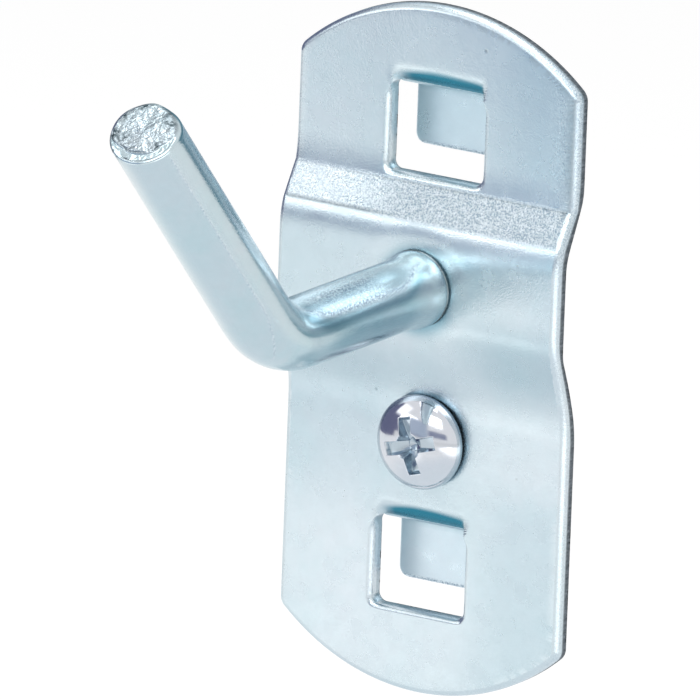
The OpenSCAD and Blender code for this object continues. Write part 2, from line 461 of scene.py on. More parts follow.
def rim(place, out, roll, upside=1.0):
    """Edge of the sheet along a side: a quarter ellipse turned over from the front face, the
    sheared wall, and the sharp back edge. Rows run along the side, columns over the edge. Its marks
    give painted highlight on the roll-overs, most on outer sides that face right and high up, teal
    painted shade on window walls and on outer roll-overs that face left, and near-black painted
    shade on the outer walls and on the outer roll-over high on the right."""
    outer = float(np.abs(place[:, 0]).max() > plate_half_w / 2)
    turn = np.linspace(0, np.pi / 2, 9)
    down_wall = np.array([0.03, 0.3, 0.6, 0.93, 1.0, 1.0])
    on_roll = np.zeros(len(turn))
    on_wall = np.zeros(len(down_wall))
    roll = np.broadcast_to(roll, place.shape[:1])[:, None]
    inset = np.concatenate([1 - np.sin(turn), on_wall]) * roll
    inset[:, -1] = burr
    flat = (place[:, None, :] - inset[..., None] * out[:, None, :]) * np.array([1.0, upside])
    x, z = flat[..., 0], flat[..., 1]
    front = front_face(x, z)
    fall = np.minimum(roll * (1.3 if outer else 1.7), edge_drop)
    drop = np.concatenate([1 - np.cos(turn), on_wall])
    share = np.concatenate([on_roll, down_wall])
    depth = drop * fall + share * (face_depth(z, back_knots) - front - fall)
    depth[:, len(turn):] += fall
    depth[:, -2] -= burr

    shear = np.concatenate([on_roll, [0.2, 1, 1, 1, 0.6, 0]])
    rolled_and_highlight = np.concatenate([np.sin(turn), on_wall])
    # Painted shade in near black: on the outer roll-over high up where it faces right, and on all
    # the outer walls
    roll_over_shade = np.concatenate([[0.3, 0.3, 0.22, 0.1], np.zeros(len(rolled_and_highlight) - 4)]) * outer
    wall_shade = 0.75 * np.concatenate([on_roll, [0.45, 0.75, 0.8, 0.8, 0.8, 0.3]]) * outer
    # side is the share that faces right on outer edges, and 1 on windows: painted highlight there,
    # painted shade where it faces left
    side = fade((out[:, :1] + 0.25) / 0.5) if outer else np.ones((len(place), 1))
    rim_shade_marks = roll_over_shade * side * fade((z - shaded_edge_z) / 2) + wall_shade
    # Painted highlight on outer edges weaker low down
    rolled_and_highlight = rolled_and_highlight * (0.45 + 0.55 * fade((z - 8) / 4)) if outer else rolled_and_highlight
    # Painted shade in teal on window walls and on outer roll-overs that face left
    painted_shade = 0.2 * shear * (1 - outer) + 0.2 * rolled_and_highlight * (1 - side)
    layers = (rolled_and_highlight * side * (0.3 + 0.3 * outer), shear * (0.3 + 0.7 * outer), rim_shade_marks, painted_shade)
    marks = np.stack([np.broadcast_to(m, x.shape) for m in layers], axis=-1)
    return np.stack([x, front + depth, z], axis=-1), marks


def join_grids(name, grids):
    """One mesh from grids of points in mm, each rows by columns by 3, with its marks for roll-over
    and painted highlight, sheared metal, dark pits and painted shade, and painted shade alone.
    Points that meet are merged, so seams close, and faces are turned outwards."""
    points = np.concatenate([g[0].reshape(-1, 3) for g in grids]) / 1000
    marks = np.concatenate([g[1].reshape(-1, 4) for g in grids])
    faces = []
    start = 0
    for g in grids:
        rows, columns = g[0].shape[:2]
        index = start + np.arange(rows * columns).reshape(rows, columns)
        quads = np.stack([index[:-1, :-1], index[:-1, 1:], index[1:, 1:], index[1:, :-1]], axis=-1)
        faces.append(quads.reshape(-1, 4))
        start += rows * columns
    mesh = bpy.data.meshes.new(name)
    mesh.from_pydata(points, [], np.concatenate(faces).tolist())
    for k, mark in enumerate(("rolled_and_highlight", "sheared", "grime_and_shade", "painted_shade")):
        layer = mesh.attributes.new(mark, "FLOAT", "POINT")
        layer.data.foreach_set("value", marks[:, k].astype(np.float32))
    work = bmesh.new()
    work.from_mesh(mesh)
    bmesh.ops.remove_doubles(work, verts=work.verts, dist=merge_gap)
    bmesh.ops.recalc_face_normals(work, faces=work.faces)
    work.to_mesh(mesh)
    work.free()
    mesh.shade_smooth()
    return mesh


def no_marks(points):
    """Marks of plain metal for a grid of points."""
    return np.zeros(points.shape[:-1] + (4,))


def pressed_marks(points):
    """Marks of the plate's faces: the stretched slope's open grain with painted highlight,
    near-black painted shade in its creases, towards its right and near the upper right edge, and
    teal painted shade towards the slope's right, in the draws, in five soft patches, in a ring
    round the arm's seat and as a painted shadow under it."""
    x, z = points[..., 0], points[..., 2]
    off_left = fade((x + 9) / 8)
    on_slope = fade((z - slope_low) / 0.5) * fade((slope_high - z) / 0.5)
    slope_grain_and_highlight = (0.52 + 0.3 * fade((x + 13) / 12)) * on_slope
    # Painted shade in near black along the slope's two creases, the lower one on the left only
    creases = (
        0.3 * np.exp(-((z - upper_crease_z) / 0.05) ** 2)
        + 0.65 * np.exp(-((z - lower_crease_z) / 0.1) ** 2) * fade((-1 - x) / 6)
    )
    from_arm = np.hypot(x, z - arm_z) - rod_r
    # Painted shade in teal: five soft patches, a ring round the arm's seat, and a painted shadow
    # under the arm
    shade_patches = (
        0.16 * fade((z + 18) / 9) * fade((2 - z) / 4) * (1 - 0.9 * fade((x - 1) / 5))
        + 0.15 * fade((x - 2) / 8) * fade((-9 - z) / 5)
        + 0.07 * fade((-2 - x) / 4) * fade((z + 10) / 5)
        + 0.24 * fade((x - 2) / 7) * fade((6 - z) / 4) * fade((z + 4) / 4)
        + 0.08 * fade((x - 4) / 5) * fade((z - 15) / 3)
        + 0.52 * np.exp(-(from_arm / 0.8) ** 2)
        + 0.28 * np.exp(-((from_arm - 0.7) / 0.8) ** 2) * fade((arm_z - 1.0 - z) / 1.5)
    )
    # Painted shade near the right edge, high up
    upper_right_shade = 0.3 * fade((x - 12.5) / 0.8) * fade((z - shaded_edge_z) / 2)
    edge_grain = 0.42 * fade((x - 10.0) / 3.5) * fade((z - 11) / 2)
    marks = no_marks(points)
    # Both grains get painted highlight; the slope's painted shade grows towards the right through
    # off_left
    marks[..., 0] = np.maximum(slope_grain_and_highlight, edge_grain)
    marks[..., 2] = creases + 0.36 * slope_grain_and_highlight * off_left + upper_right_shade
    marks[..., 3] = draw(x, z)[1] + 0.2 * slope_grain_and_highlight * off_left + shade_patches
    return marks


side_f = 0.7 * eased(112) + 0.3 * np.linspace(0, 1, 112)
ring_f = np.linspace(0, 1, 20) ** 1.5
plate_grids = []


def add_face(x, z, front):
    """The front or the back face of the plate over a grid of places, with its marks."""
    y = front_face(x, z) if front else face_depth(z, back_knots)
    points = np.stack([x, y, z], axis=-1)
    plate_grids.append((points, pressed_marks(points) * float(front)))


def window_block(start_z, low, top, right, upside):
    """One end of the plate round its window: front and back faces and every rim. It is worked out
    as the upper end, and upside is -1 to lay it upside down as the lower end."""
    sides = end_sides(start_z, side_f)
    inner = window_sides(low, top, right, side_f)
    root_side = 2 if upside > 0 else 0
    rolls = []
    for k in range(4):
        if k == root_side:
            rolls.append(np.full(len(side_f), 0.03 * edge_roll))
        elif k in (0, 2):
            rolls.append(edge_roll - 0.18 * fade((0.5 - np.abs(side_f - 0.5)) / 0.05))
        else:
            from_root = 1 - side_f if (k == 1) == (upside > 0) else side_f
            rolls.append(edge_roll * (0.03 + 0.97 * fade(from_root / 0.2)))
    for outer_inset, front in ((edge_roll, True), (burr, False)):
        w = plate_half_w - outer_inset
        bottom = np.stack([(2 * side_f - 1) * w, np.full(len(side_f), start_z)], axis=-1)
        outer = [bottom] + [p - outer_inset * n for p, n in sides]
        for k in range(4):
            p, n = inner[k]
            reach = rolls[k] if front else np.full(len(side_f), burr)
            hole = p - reach[:, None] * n
            s = ring_f[None, :, None]
            flat = hole[:, None, :] * (1 - s) + outer[k][:, None, :] * s
            add_face(flat[..., 0], flat[..., 1] * upside, front)
    for p, n in sides:
        plate_grids.append(rim(p, n, edge_roll, upside))
    for (p, n), roll in zip(inner, rolls):
        plate_grids.append(rim(p, n, roll, upside))


window_block(block_low, window_low, window_top - root_cut, window_right, 1.0)
window_block(
    -lower_block_top, root_cut - lower_window_top, -lower_window_low, lower_window_right, -1.0,
)

# Even rows, and closer ones over the two sharp edges of the upper slope
band_rows = np.unique(np.concatenate([
    np.linspace(lower_block_top, block_low, 100),
    front_knots[2, 0] + np.array([-0.12, -0.05, 0, 0.04]),
    front_knots[3, 0] + np.array([-0.15, -0.06, 0, 0.06, 0.15]),
]))
for inset in (edge_roll, burr):
    x, z = np.meshgrid((2 * side_f - 1) * (plate_half_w - inset), band_rows)
    add_face(x, z, inset == edge_roll)
for way in (-1.0, 1.0):
    place = np.stack([np.full(len(band_rows), way * plate_half_w), band_rows], axis=-1)
    plate_grids.append(rim(place, np.tile([way, 0.0], (len(band_rows), 1)), edge_roll))

plate_mesh = join_grids("plate", plate_grids)
plate = add_to_scene("plate", plate_mesh)
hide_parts("mounting_plate")
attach(plate, "root")


def lighter(colour, by):
    """A colour scaled towards white where by is over 1 and towards black where it is under."""
    return tuple(min(1.0, c * by) for c in colour)


def zinc_finish(name, cool, warm, tint, gloss, grain, grain_height, grain_bump, streak_scale,
                scratches=1.0, corner_shade=None):
    """Bright zinc over steel. Colour drifts between three passivate tints in soft clouds, fine
    grain moves the bump and the gloss, thin scratches and sparse specks lie over it, and sheared
    walls show striped bare metal. The mesh's marks add painted highlight in near white, painted
    shade in teal and in near black, and corner_shade paints shade towards the upper right."""
    finish = bpy.data.materials.new(name)
    finish.use_nodes = True
    nodes = finish.node_tree.nodes
    links = finish.node_tree.links
    skin = nodes["Principled BSDF"]
    skin.inputs["Metallic"].default_value = 1.0
    where = nodes.new("ShaderNodeTexCoord").outputs["Object"]

    def noise(scale, detail=2.0, rough=0.5, stretch=None, turn=(0, 0, 0)):
        """Value of a noise texture on the piece, its coordinates stretched and turned first where
        asked."""
        source = where
        if stretch:
            lay = add_node(nodes, "Mapping", scale=stretch, rotation=turn)
            links.new(where, lay.inputs["Vector"])
            source = lay.outputs[0]
        texture = add_node(nodes, "TexNoise", scale=scale, detail=detail, roughness=rough)
        links.new(source, texture.inputs["Vector"])
        return texture.outputs[0]

    def spread(value, low, high, to_low=0.0, to_high=1.0):
        """A value from low to high spread over another range, and held at its ends."""
        reach = add_node(
            nodes, "MapRange", from_min=low, from_max=high, to_min=to_low, to_max=to_high,
        )
        links.new(value, reach.inputs["Value"])
        return reach.outputs[0]

    def blend(factor, first, second):
        """Two colours, each a value or a link, mixed by a factor."""
        mix = nodes.new("ShaderNodeMix")
        mix.data_type = "RGBA"
        links.new(factor, mix.inputs[0])
        for socket, colour in ((mix.inputs[6], first), (mix.inputs[7], second)):
            if isinstance(colour, tuple):
                socket.default_value = (*colour, 1)
            else:
                links.new(colour, socket)
        return mix.outputs[2]

    def times(first, second):
        """Product of two values."""
        return add_math(nodes, links, "MULTIPLY", first, second)

    def plus(first, second):
        """Sum of two values."""
        return add_math(nodes, links, "ADD", first, second)

    def mark(layer):
        """Value of one of the mesh's own marks."""
        reader = nodes.new("ShaderNodeAttribute")
        reader.attribute_name = layer
        return reader.outputs["Fac"]

    clouds = spread(noise(70, 3, 0.55), 0.35, 0.65)
    drift = spread(noise(140, 4, 0.6), 0.42, 0.68)
    colour = blend(clouds, cool, warm)
    colour = blend(times(drift, 0.65), colour, tint)
    mottle = spread(noise(900, 5, 0.65), 0.3, 0.75)
    colour = blend(times(mottle, 0.16), colour, lighter(cool, 1.28))
    fine = noise(grain, 3, 0.6)
    colour = blend(spread(fine, 0.6, 0.78, 0.0, 0.22), colour, lighter(cool, 0.72))
    hair = noise(1, 2, 0.5, streak_scale, (0.35, 0.2, 0.9))
    hairline = times(spread(hair, 0.74, 0.78), scratches)
    cross_scale = (streak_scale[2], streak_scale[0], streak_scale[1])
    cross_hair = noise(1, 2, 0.5, cross_scale, (0.9, 0.5, 0.2))
    cross_line = times(spread(cross_hair, 0.76, 0.8), scratches)
    lines = add_math(nodes, links, "MAXIMUM", hairline, cross_line)
    colour = blend(times(lines, 0.25), colour, lighter(cool, 1.35))
    spots = add_node(nodes, "TexVoronoi", scale=420)
    links.new(where, spots.inputs["Vector"])
    spot_pick = nodes.new("ShaderNodeSeparateColor")
    links.new(spots.outputs["Color"], spot_pick.inputs[0])
    spot = times(
        spread(spots.outputs["Distance"], 0.05, 0.1, 1.0, 0.0),
        spread(spot_pick.outputs[0], 0.9, 0.92),
    )
    colour = blend(times(spot, 0.55), colour, lighter(cool, 0.35))
    # Painted shade: darker blue towards the upper right corner, on the plate only
    if corner_shade:
        sides = nodes.new("ShaderNodeSeparateXYZ")
        links.new(where, sides.inputs[0])
        slant = plus(sides.outputs[0], times(sides.outputs[2], 0.55))
        slant = plus(slant, times(noise(60, 2, 0.5), 0.01))
        colour = blend(spread(slant, 0.018, 0.035, 0.0, 0.75), colour, corner_shade)

    rolled_and_highlight = mark("rolled_and_highlight")
    sheared = mark("sheared")
    # Painted shade: teal where the mesh marks it, in the draws, on the arm, along edges and round
    # the screw's head
    colour = blend(mark("painted_shade"), colour, (0.035, 0.22, 0.31))
    # Near white in patches where the mesh marks roll-over: wear on the roll-overs, and painted
    # highlight on the slope, the arm's streaks and the tongues' ends
    wear_and_highlight = times(rolled_and_highlight, spread(noise(2600, 4, 0.7), 0.3, 0.55))
    colour = blend(times(wear_and_highlight, 0.72), colour, (0.9, 0.95, 0.97))
    grit = noise(6300, 3, 0.72)
    open_grain = times(rolled_and_highlight, spread(grit, 0.55, 0.42, 0.0, 0.86))
    colour = blend(open_grain, colour, (0.17, 0.26, 0.36))
    stripes = noise(1, 3, 0.7, (5200, 500, 5200))
    bare = blend(spread(stripes, 0.35, 0.65), (0.07, 0.07, 0.08), (0.36, 0.38, 0.42))
    colour = blend(times(sheared, 0.85), colour, bare)
    # Near black over the dark marks: pits on the arm's tip, and painted shade in creases, the seam
    # and along edges
    grime_and_shade = times(mark("grime_and_shade"), spread(noise(4600, 3, 0.7), 0.4, 0.58, 0.7, 1.0))
    colour = blend(times(grime_and_shade, 0.95), colour, (0.02, 0.04, 0.05))
    links.new(colour, skin.inputs["Base Color"])

    roughness = spread(noise(500, 4, 0.6), 0.3, 0.7, gloss - 0.05, gloss + 0.06)
    for layer, amount in ((lines, 0.1), (sheared, 0.14), (grime_and_shade, 0.35)):
        roughness = plus(roughness, times(layer, amount))
    links.new(roughness, skin.inputs["Roughness"])

    height = times(fine, grain_height)
    for layer, amount in ((lines, 0.15), (spot, 0.6)):
        height = add_math(nodes, links, "SUBTRACT", height, times(layer, amount))
    height = plus(height, times(noise(1500, 3, 0.5), 0.3))
    height = plus(height, times(times(sheared, stripes), 5.0))
    height = plus(height, times(times(rolled_and_highlight, grit), 3.2))
    bump = add_node(nodes, "Bump", strength=grain_bump, distance=0.00002)
    links.new(height, bump.inputs["Height"])
    links.new(bump.outputs[0], skin.inputs["Normal"])
    return finish


plate_finish = zinc_finish(
    "bright_zinc_sheet",
    cool=(0.6, 0.695, 0.73),
    warm=(0.66, 0.71, 0.755),
    tint=(0.57, 0.695, 0.73),
    gloss=0.25,
    grain=6200,
    grain_height=0.8,
    grain_bump=1.0,
    streak_scale=(300, 300, 5200),
    scratches=0.12,
    corner_shade=(0.43, 0.57, 0.67),
)
plate_mesh.materials.append(plate_finish)


# ---- Hanging tongues --------------------------------------
# Lanced from the two windows with the plate, bent back through the panel's square
# holes and down behind the panel. One piece with the plate, and given a copy of its zinc
# tinted a little lighter and more cyan, as painted light where they sit behind it.
tongue_half_w = 4.55
tongue_tip_r = 1.0
tongue_back_y = 2.5
tongue_tip_drop = 8.0
tongue_in_r = 0.7
tongue_roll = 0.3


def tongue_grid(root_z):
    """A rounded strip section carried along the tongue's bends: rows along the strip from the
    window's upper edge to the tip, columns round the section, closed at both ends on the strip's
    middle."""
    start = math.asin(root_cut / root_bend_r)
    turn_1 = np.linspace(start, np.pi / 2, 14)
    y_1 = root_bend_r * (1 - np.cos(turn_1)) - sheet_t
    z_1 = root_z - root_bend_r * np.sin(turn_1)
    turn_2 = np.linspace(np.pi / 2, 0, 14)
    y_2 = tongue_back_y - tongue_in_r * (1 - np.cos(turn_2))
    z_2 = z_1[-1] - tongue_in_r * (1 - np.sin(turn_2))
    tip_z = root_z - tongue_tip_drop
    run = 1 - (1 - np.linspace(0, 1, 27)[1:]) ** 2.4
    z_3 = z_2[-1] + (tip_z - z_2[-1]) * run
    y = np.concatenate([y_1, y_2, np.full(len(run), tongue_back_y)])[:, None]
    z = np.concatenate([z_1, z_2, z_3])[:, None]
    turn = np.concatenate([turn_1, turn_2, np.zeros(len(run))])[:, None]
    to_tip = np.where(turn > 0, np.inf, z - tip_z)
    near = np.clip(tongue_tip_r - to_tip, 0, tongue_tip_r)
    half = tongue_half_w - tongue_tip_r + np.sqrt(tongue_tip_r ** 2 - near ** 2)
    curl = np.clip(tongue_roll - to_tip, 0, tongue_roll)
    front_in = tongue_roll - np.sqrt(tongue_roll ** 2 - curl ** 2)

    # Columns: a corner, the front, a corner, a wall, a corner, the back, a corner, a wall
    quarter = np.linspace(0, np.pi / 2, 7)
    flat = np.linspace(-1, 1, 26)[1:-1]
    walls = np.array([0.15, 0.5, 0.85])
    q, f, w = (np.ones(len(part)) for part in (quarter, flat, walls))
    across = np.concatenate([-q, flat, q, w, q, -flat, -q, -w, [-1]])
    radius = np.concatenate([
        tongue_roll * q, tongue_roll * f, tongue_roll * q, tongue_roll - 0.2 * walls,
        burr * q, burr * f, burr * q, 0.1 + 0.2 * walls, [tongue_roll],
    ])
    c = np.concatenate([
        -np.cos(quarter), 0 * f, np.sin(quarter), w,
        np.cos(quarter), 0 * f, -np.sin(quarter), -w, [-1],
    ])
    s = np.concatenate([
        -np.sin(quarter), -f, -np.cos(quarter), 0 * w,
        np.sin(quarter), f, np.cos(quarter), 0 * w, [0],
    ])
    back = np.concatenate([0 * q, 0 * f, 0 * q, walls, q, f, q, walls[::-1], [0]])
    x = across * (half - radius) + radius * c
    deep = (1 - back) * (front_in + tongue_roll) + back * (sheet_t - burr) + radius * s
    points = np.stack([x, y + deep * np.cos(turn), z + deep * np.sin(turn)], axis=-1)
    # Painted shade in teal along the tongue's left edge and up near its root
    painted_shading = 0.15 * fade((-x - 3.4) / 1.0) + 0.3 * fade((z - root_z + 3.4) / 0.8)
    # Painted highlight along the front edge of the tongue's end
    bright_end = 0.9 * fade((tip_z + 0.45 - z) / 0.25) * (back == 0)
    marks = no_marks(points)
    marks[..., 0] = bright_end
    marks[..., 1] = (np.abs(c) == 1) & (back > 0) & (back < 1)
    marks[..., 3] = np.clip(painted_shading, 0, 0.7) * (back == 0)

    ends = []
    for row in (0, -1):
        middle = points[[row]]
        middle[..., 1] = y[row] + sheet_t / 2 * np.cos(turn[row])
        middle[..., 2] = z[row] + sheet_t / 2 * np.sin(turn[row])
        ends.append(middle)
    tip_marks = np.zeros_like(marks[-1:])
    tip_marks[..., 1] = 1
    points = np.concatenate([ends[0], points, ends[1]])
    marks = np.concatenate([marks[:1], marks, tip_marks])
    return points, marks


# A copy of the plate's zinc, lighter and more cyan: painted light on the tongues
tongue_finish = zinc_finish(
    "bright_zinc_tongue",
    cool=(0.59, 0.72, 0.775),
    warm=(0.65, 0.73, 0.79),
    tint=(0.56, 0.72, 0.775),
    gloss=0.3,
    grain=6200,
    grain_height=1.2,
    grain_bump=0.5,
    streak_scale=(300, 300, 5200),
    scratches=0.35,
)

for name, root_z in (("upper_tongue", window_top), ("lower_tongue", lower_window_top)):
    tongue_mesh = join_grids(name, [tongue_grid(root_z)])
    tongue_mesh.materials.append(tongue_finish)
    tongue = add_to_scene(name, tongue_mesh)
    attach(tongue, "root")


# ---- Arm --------------------------------------------------
# One bar of 6.2 mm steel wire, its shouldered end riveted through the band, bent up
# into a rising leg and cropped off at the tip by a shear. Zinc plated like the plate.
arm_corner_y = -26.3
arm_turn = math.radians(46.5)
leg_len = 31.0
tip_room = 1.3
bend_out_r = 13.5
bend_in_r = 3.0
bend_reach = 6.4
bend_count = 90
bend_bulge = 0.45
root_len = 3.2
imprint_line = 0.013
imprint_start = 0.8
imprint_spread = 7.0
imprint_turn = math.radians(66)
line_turn = math.radians(2.2)
rivet_r = 3.4
rivet_h = 1.2
band_back = -2.4

arm_corner = np.array([arm_corner_y, arm_z])
root_way = np.array([-1.0, 0.0])
root_up = np.array([0.0, 1.0])
leg_way = np.array([-math.cos(arm_turn), math.sin(arm_turn)])
leg_up = np.array([leg_way[1], -leg_way[0]])


def bend_rail(offset, radius):
    """One side of the arm in the plane of its bend, offset from the axis: a straight, an arc that
    touches both sides' lines, and a straight, sampled evenly along its length between two square
    sections of the arm."""
    meet = arm_corner + offset * (root_up + leg_up) / (1 + root_up @ leg_up)
    touch = meet - root_way * radius * math.tan(arm_turn / 2)
    start = arm_corner - root_way * bend_reach + offset * root_up
    end = arm_corner + leg_way * bend_reach + offset * leg_up
    turn = np.linspace(0, arm_turn, 60)
    bow = touch + radius * (root_up - np.stack([np.sin(turn), np.cos(turn)], axis=-1))
    track = np.concatenate([[start], bow, [end]])
    length = run_length(track)
    at = np.linspace(0, length[-1], bend_count)
    return np.stack([np.interp(at, length, track[:, k]) for k in (0, 1)], axis=-1)


def soften(rail, passes):
    """Each inner point of a rail moved, in each pass, halfway to the mean of its neighbours."""
    for _ in range(passes):
        rail[1:-1] = 0.25 * rail[:-2] + 0.5 * rail[1:-1] + 0.25 * rail[2:]
    return rail


outer_rail = soften(bend_rail(-rod_r, bend_out_r), 30)
inner_rail = soften(bend_rail(rod_r, bend_in_r), 24)
across_bend = inner_rail - outer_rail
bend_width = np.linalg.norm(across_bend, axis=1)

# Rings of the root, from inside the band outwards: how far each stands off the band, and its
# radius. They make the seam, the upset shoulder and its taper down to the bar
root_steps = np.array([
    -0.15, 0.015, 0.02, 0.06, 0.1, 0.14, 0.2, 0.32, 0.5,
    0.75, 1.0, 1.25, 1.5, 1.75, 2.0, 2.3, 2.7, root_len,
])
root_r = np.array([
    2.6, 3.37, 3.37, 3.22, 3.26, 3.31, 3.35, 3.37, 3.375,
    3.36, 3.33, 3.29, 3.245, 3.2, 3.16, 3.13, 3.11, rod_r,
])
plain_steps = np.linspace(root_len, band_front - (arm_corner_y + bend_reach), 24)[1:-1]
leg_steps = np.linspace(bend_reach, leg_len - tip_room, 44)[1:]
straight_steps = np.concatenate([root_steps, plain_steps])
straight_count = len(straight_steps)
centre = np.concatenate([
    np.array([band_front, arm_z]) + straight_steps[:, None] * root_way,
    (outer_rail + inner_rail) / 2,
    arm_corner + leg_steps[:, None] * leg_way,
])
half_high = np.concatenate([
    root_r,
    np.full(len(plain_steps), rod_r),
    bend_width / 2,
    np.full(len(leg_steps), rod_r),
])
upward = np.concatenate([
    np.tile(root_up, (straight_count, 1)),
    across_bend / bend_width[:, None],
    np.tile(leg_up, (len(leg_steps), 1)),
])
heading = np.gradient(centre, axis=0)
heading = heading / np.linalg.norm(heading, axis=1, keepdims=True)
half_thick = half_high * np.abs(heading[:, 0] * upward[:, 1] - heading[:, 1] * upward[:, 0])
half_wide = np.minimum(half_high, rod_r)
bend_rows = slice(straight_count, straight_count + bend_count)
half_wide[bend_rows] = rod_r + bend_bulge * np.clip(rod_r - half_thick[bend_rows], 0, None)
half_wide[:len(root_steps)] = root_r
around = np.linspace(0, 2 * np.pi, 193)


def value_noise(x, z, cell, seed):
    """Smooth random heights, from 0 to 1, that change over about one cell: seeded values on a
    square lattice, eased between with a cubic."""
    lattice = np.random.default_rng(seed).random((64, 64))
    gx = x / cell + 32.0
    gz = z / cell + 32.0
    ix = np.floor(gx).astype(int) % 63
    iz = np.floor(gz).astype(int) % 63
    fx = fade(gx - np.floor(gx))
    fz = fade(gz - np.floor(gz))
    low = lattice[ix, iz] * (1 - fx) + lattice[ix + 1, iz] * fx
    high = lattice[ix, iz + 1] * (1 - fx) + lattice[ix + 1, iz + 1] * fx
    return low * (1 - fz) + high * fz


# The bending tool's flat imprint on the outer side: its edge is a fine raised line that
# runs down the leg on both sides and closes round the outside of the bend
run = run_length(centre)
corner_run = run[straight_count + bend_count // 2]
past_corner = run - corner_run
leg_run = np.clip((past_corner - imprint_start) / imprint_spread, 0, 1)
imprint_half = imprint_turn * np.sqrt(leg_run * (2 - leg_run))
from_outside = np.abs((around + np.pi / 2 + np.pi) % (2 * np.pi) - np.pi)
off_line = (from_outside[None, :] - imprint_half[:, None]) / line_turn
imprint = np.exp(-off_line ** 2) * fade((past_corner - imprint_start) / 1.5)[:, None]

side_x = (half_wide[:, None] + imprint_line * imprint) * np.cos(around)
side_in = (half_high[:, None] + imprint_line * imprint) * np.sin(around)
side_plane = centre[:, None] + side_in[..., None] * upward[:, None]
body = np.concatenate([side_x[..., None], side_plane], axis=-1)

# The cropped end: a rim that turns over, widest on the upper side, a smooth burnished
# crescent low on the right, and the torn face above it
rim_turn = np.linspace(0, np.pi / 2, 10)
face_steps = np.linspace(1, 0, 56)[1:]
rim_r = 0.26 + 0.66 * fade((np.cos(around - 0.87) - 0.62) / 0.38)
rim_r = rim_r + 0.08 * np.sin(3 * around + 1.0) ** 2
rim_least = np.maximum(rim_r, 0.1)
off_seam = 1 - np.abs(np.cos(around / 2)) ** 40
rim_ragged = 0.1 * (value_noise(2.6 * around, 0 * around, 1.1, 31) - 0.5) * off_seam
rim_in = rim_r * (1 - np.cos(rim_turn))[:, None]
tip_radius = np.concatenate([rod_r - rim_in, (rod_r - rim_r) * face_steps[:, None]])
rim_rise = rim_r * (np.sin(rim_turn)[:, None] - 1)
tip_rise = np.concatenate([rim_rise, np.zeros((len(face_steps), len(around)))])
tx = tip_radius * np.cos(around)
tu = tip_radius * np.sin(around)
slant_x = 0.8 * tx + 0.6 * tu
slant_u = -0.6 * tx + 0.8 * tu
inside = fade((rod_r - 0.16 - tip_radius) / 0.25)
lip_ragged = value_noise(3 * np.cos(around), 3 * np.sin(around), 1.0, 44) - 0.5
lip = 0.12 + 0.95 * fade((np.cos(around + 1.25) + 0.25) / 1.1) + 0.22 * lip_ragged
past_lip = tip_radius - (rod_r - lip)
crescent = fade(past_lip / 0.14)
torn = (
    0.2 * (value_noise(0.5 * slant_x, slant_u, 0.8, 3) - 0.5)
    + 0.1 * (0.5 - np.abs(2 * value_noise(0.5 * slant_x, slant_u, 0.3, 5) - 1))
    + 0.05 * (value_noise(0.5 * slant_x, slant_u, 0.13, 8) - 0.5)
    + 0.05 * (value_noise(slant_x, slant_u, 0.085, 18) - 0.5)
)
ledge = (
    -0.06 - 0.06 * value_noise(slant_x, slant_u, 0.9, 12)
    + 0.02 * value_noise(slant_x, slant_u, 0.16, 14)
)
cracked = fade((value_noise(slant_x, slant_u, 0.5, 15) - 0.25) / 0.3)
crack = np.exp(-((past_lip + 0.06) / 0.07) ** 2) * cracked
face = (torn + 0.05) * (1 - crescent) + ledge * crescent - 0.12 * crack
tip_rise = tip_rise + face * inside + rim_ragged * fade(1 + tip_rise / rim_least)
tip_rise = tip_rise + (0.02 - 0.06 * tx) * fade((2.2 + tip_rise / rim_least) / 1.2)
tip_rise[-1] = tip_rise[-1].mean()
tip_base = arm_corner + leg_len * leg_way
tip_plane = tip_base + tu[..., None] * leg_up + tip_rise[..., None] * leg_way
tip = np.concatenate([tx[..., None], tip_plane], axis=-1)


def streak(middle, half, first, last, soft):
    """Strength of a streak along the arm: its middle angle, for all rings or for each, its half
    width, and where it starts and ends."""
    middle = np.broadcast_to(middle, run.shape)[:, None]
    off = (np.degrees(around)[None, :] - middle + 180) % 360 - 180
    lasting = fade((run - first) / soft) * fade((last - run) / soft)
    return np.exp(-(off / half) ** 2) * lasting[:, None]


# Painted highlights: bright streaks along the upper side and round the inside of the bend, and
# one down the leg's edge, with bands of teal painted shade between them
bright_line = 35 + 30 * fade((past_corner + 5.5) / 7) + 30 * fade((6.5 - run) / 5)
painted_highlights = (
    streak(70, 9, 7.0, corner_run - 1.0, 4.0)
    + 0.45 * streak(52, 13, 6.0, corner_run, 4.0)
    + streak(bright_line, 5.5, 1.0, corner_run + 3.5, 2.5)
    + 0.9 * streak(47, 4, corner_run + 5, corner_run + 19, 5.0)
    + 0.3 * streak(84, 22, 3.0, corner_run + 1.0, 3.0)
)
painted_shading = (
    0.52 * streak(bright_line - 18, 10, 0.8, corner_run + 3.0, 3.0)
    + 0.48 * streak(102, 9, 2.5, corner_run - 1.5, 3.0)
    + 0.38 * streak(-22, 26, 2.0, corner_run - 3.0, 4.0)
)
body_marks = no_marks(body)
# The imprint's raised line is whitened too, a painted highlight along it
body_marks[..., 0] = np.clip(0.5 * imprint + painted_highlights, 0, 1)
body_marks[..., 3] = np.clip(painted_shading, 0, 1)
# Painted shade: the seam where the root meets the band is near black
body_marks[1:3, :, 2] = 1

